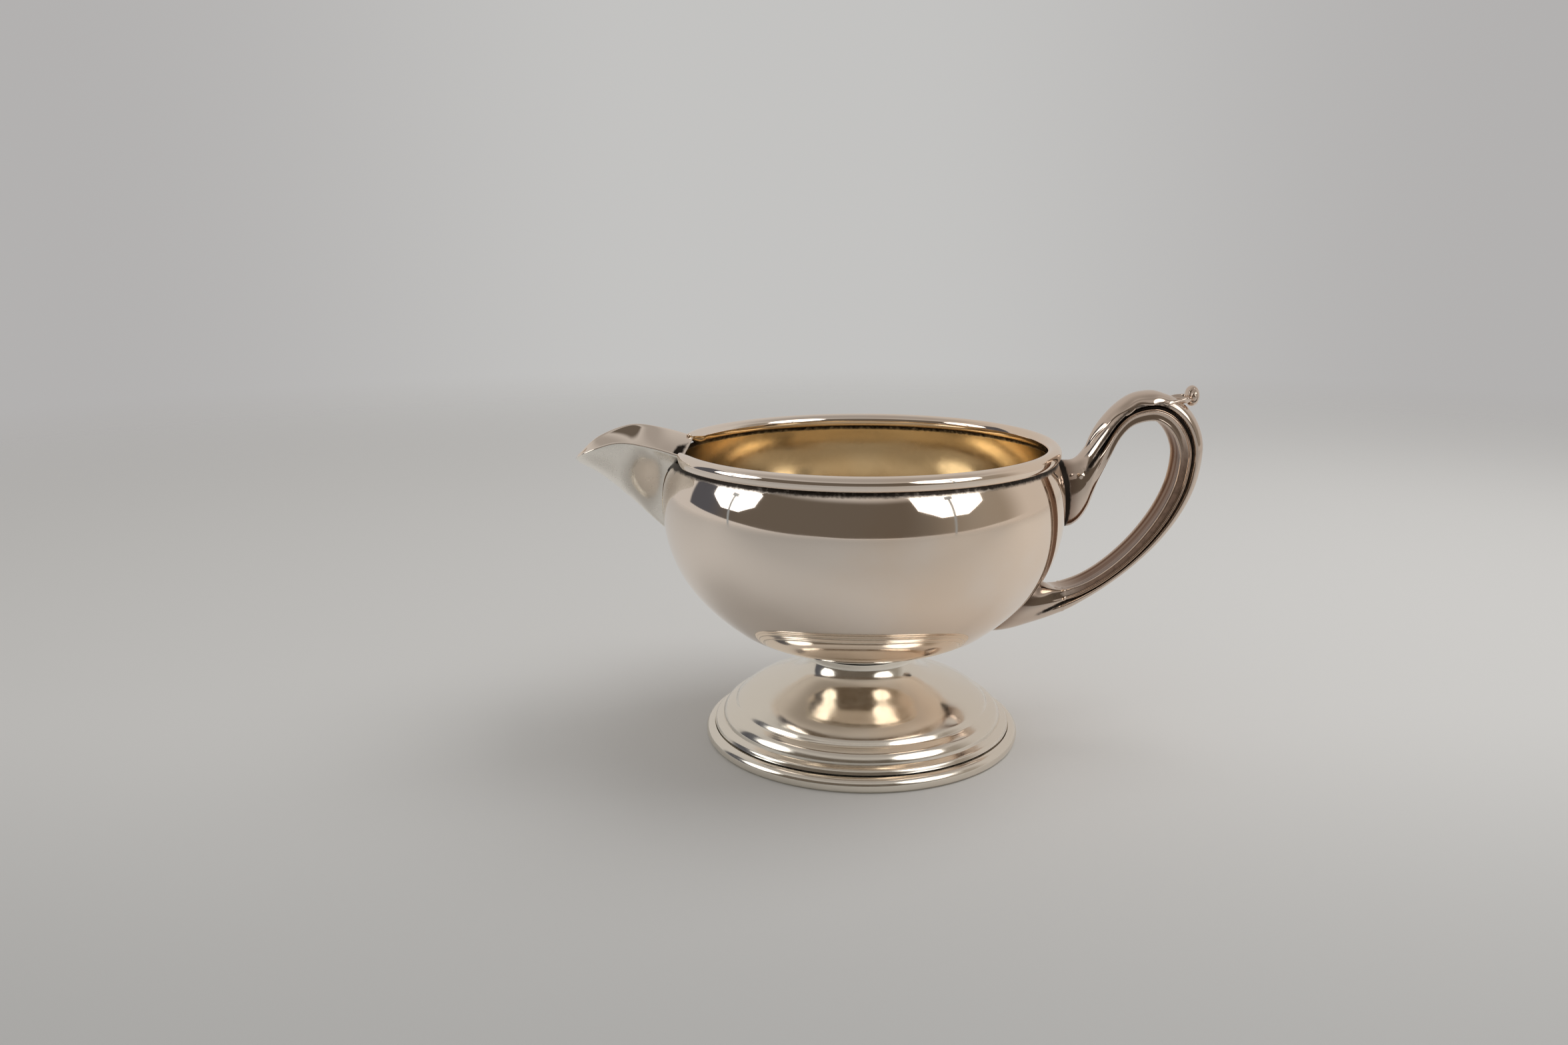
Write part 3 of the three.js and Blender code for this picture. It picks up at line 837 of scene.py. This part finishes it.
def make_floor():
    """A pale floor that fades out into the pale background, with painted shade towards the front."""
    material = bpy.data.materials.new("studio_floor")
    material.use_nodes = True
    tree = Nodes(material.node_tree)
    shader = material.node_tree.nodes["Principled BSDF"]
    shader.inputs["Roughness"].default_value = 0.75
    shader.inputs["Specular IOR Level"].default_value = 0.2
    place = tree.add("ShaderNodeTexCoord").outputs["Object"]
    parts = tree.add("ShaderNodeSeparateXYZ")
    tree.link(place, parts.inputs["Vector"])
    # Painted shade: darker towards the front of the floor.
    painted_falloff = tree.ramp(parts.outputs["Y"], 0.02, -0.16)
    painted_falloff = tree.blend(painted_falloff, FLOOR_COLOUR, FLOOR_FRONT_SHADE)
    tree.link(painted_falloff, shader.inputs["Base Color"])
    fade = tree.ramp(tree.math("LENGTH", place), FLOOR_FADE, FLOOR_RADIUS * 0.98)
    front = tree.ramp(parts.outputs["Y"], FLOOR_FRONT, FLOOR_FRONT - 0.02)
    fade = tree.math("MAXIMUM", fade, front)
    clear = tree.add("ShaderNodeBsdfTransparent").outputs["BSDF"]
    mixed = tree.add("ShaderNodeMixShader")
    tree.link(fade, mixed.inputs["Fac"])
    tree.link(shader.outputs["BSDF"], mixed.inputs[1])
    tree.link(clear, mixed.inputs[2])
    tree.link(mixed.outputs["Shader"], material.node_tree.nodes["Material Output"].inputs["Surface"])
    bpy.ops.mesh.primitive_circle_add(vertices=128, radius=FLOOR_RADIUS, fill_type="NGON")
    floor = bpy.context.object
    floor.name = "floor"
    floor.data.materials.append(material)


def make_room():
    """The world: pale to the camera, with painted shade towards the sides. In reflections a beige
    room in front, a pale sweep behind.
    """
    world = bpy.data.worlds.new("studio")
    bpy.context.scene.world = world
    world.use_nodes = True
    tree = Nodes(world.node_tree)
    direction = tree.add("ShaderNodeTexCoord").outputs["Generated"]
    parts = tree.add("ShaderNodeSeparateXYZ")
    tree.link(direction, parts.inputs["Vector"])
    x, y, z = parts.outputs
    front = tree.math("MULTIPLY", y, -1)
    turn = tree.math("ARCTAN2", x, front)
    horizon = tree.math("MULTIPLY_ADD", y, -0.075, z)
    above = tree.ramp(horizon, -0.045, -0.035)
    left_edge = tree.ramp(turn, -2.03, -1.99)
    right_edge = tree.ramp(turn, 1.75, 1.35)
    wall_top = tree.ramp(z, 0.62, 0.5)
    wall = tree.math("MULTIPLY", tree.math("MULTIPLY", above, wall_top),
                     tree.math("MULTIPLY", left_edge, right_edge))
    ceiling = tree.ramp(z, 0.5, 0.85)
    ceiling = tree.math("MULTIPLY", ceiling, tree.ramp(y, 0.75, -0.1))
    tone = tree.blend(tree.ramp(turn, -1.75, -1.3), LEFT_WALL, WALL)
    tone = tree.blend(tree.ramp(turn, 0.3, 1.2), tone, RIGHT_WALL)
    look = tree.blend(ceiling, SWEEP, CEILING)
    look = tree.blend(wall, look, tone)
    # Painted shade: the backdrop seen by the camera darkens towards the sides.
    sweep = tree.ramp(tree.math("ABSOLUTE", x), 0.08, 0.5)
    seen = tree.blend(sweep, BACKDROP, BACKDROP_SHADED_SIDES)
    rays = tree.add("ShaderNodeLightPath")
    look = tree.blend(rays.outputs["Is Diffuse Ray"], look, FILL_LIGHT)
    look = tree.blend(rays.outputs["Is Camera Ray"], look, seen)
    tree.link(look, world.node_tree.nodes["Background"].inputs["Color"])


def emitter(name, color, strength):
    material = bpy.data.materials.new(name)
    material.use_nodes = True
    tree = material.node_tree
    tree.nodes.remove(tree.nodes["Principled BSDF"])
    glow = tree.nodes.new("ShaderNodeEmission")
    glow.inputs["Color"].default_value = (*color, 1)
    glow.inputs["Strength"].default_value = strength
    tree.links.new(glow.outputs["Emission"], tree.nodes["Material Output"].inputs["Surface"])
    return material


def reflected_only(name, points, faces, material):
    """A studio object that the silver reflects and the camera does not see."""
    mesh = bpy.data.meshes.new(name)
    mesh.from_pydata(points, [], faces)
    mesh.materials.append(material)
    made = bpy.data.objects.new(name, mesh)
    made.visible_camera = False
    made.visible_diffuse = False
    made.visible_shadow = False
    bpy.context.collection.objects.link(made)


def umbrella(name, turn, rise, radius):
    """An eight-sided umbrella with its lamp head and stand, at an angle from the camera side."""
    turn, rise = math.radians(turn), math.radians(rise)
    out = Vector((math.sin(turn) * math.cos(rise), -math.cos(turn) * math.cos(rise), math.sin(rise)))
    centre = AXIS + Vector((0, 0, 0.065)) + out * UMBRELLA_DISTANCE
    side = out.cross(Vector((0, 0, 1))).normalized()
    up = side.cross(out)
    rim = [centre + (side * math.cos(a) + up * math.sin(a)) * radius
           for a in (math.pi * (2 * i + 1) / 8 for i in range(8))]
    glow = emitter(name + "_glow", (1.0, 0.99, 0.97), UMBRELLA_STRENGTH)
    reflected_only(name, rim, [tuple(range(8))], glow)
    head = centre - out * 0.06
    pole = 0.012
    stand = []
    for half_width, top, bottom in ((pole, 0, -UMBRELLA_DISTANCE), (3 * pole, 2 * pole, -2 * pole)):
        stand += [head - side * half_width + up * bottom, head + side * half_width + up * bottom,
                  head + side * half_width + up * top, head - side * half_width + up * top]
    metal = emitter(name + "_dark", (0.3, 0.33, 0.35), 1)
    reflected_only(name + "_stand", stand, [(0, 1, 2, 3), (4, 5, 6, 7)], metal)


def key_light():
    """Broad soft light from above on the right, for the soft shadow on the floor."""
    data = bpy.data.lights.new("key", "AREA")
    data.shape = "RECTANGLE"
    data.size, data.size_y = 0.5, 0.5
    data.energy = KEY_WATTS
    lamp = bpy.data.objects.new("key", data)
    lamp.location = KEY_PLACE
    lamp.rotation_euler = (Vector((0, 0, 0.03)) - lamp.location).to_track_quat("-Z", "Y").to_euler()
    lamp.visible_glossy = False
    bpy.context.collection.objects.link(lamp)


make_camera()
make_floor()
make_room()
key_light()
umbrella("left_umbrella", -80, 21, 0.29)
umbrella("right_umbrella", 47, 29, 0.37)
bpy.context.scene.view_settings.view_transform = "Standard"
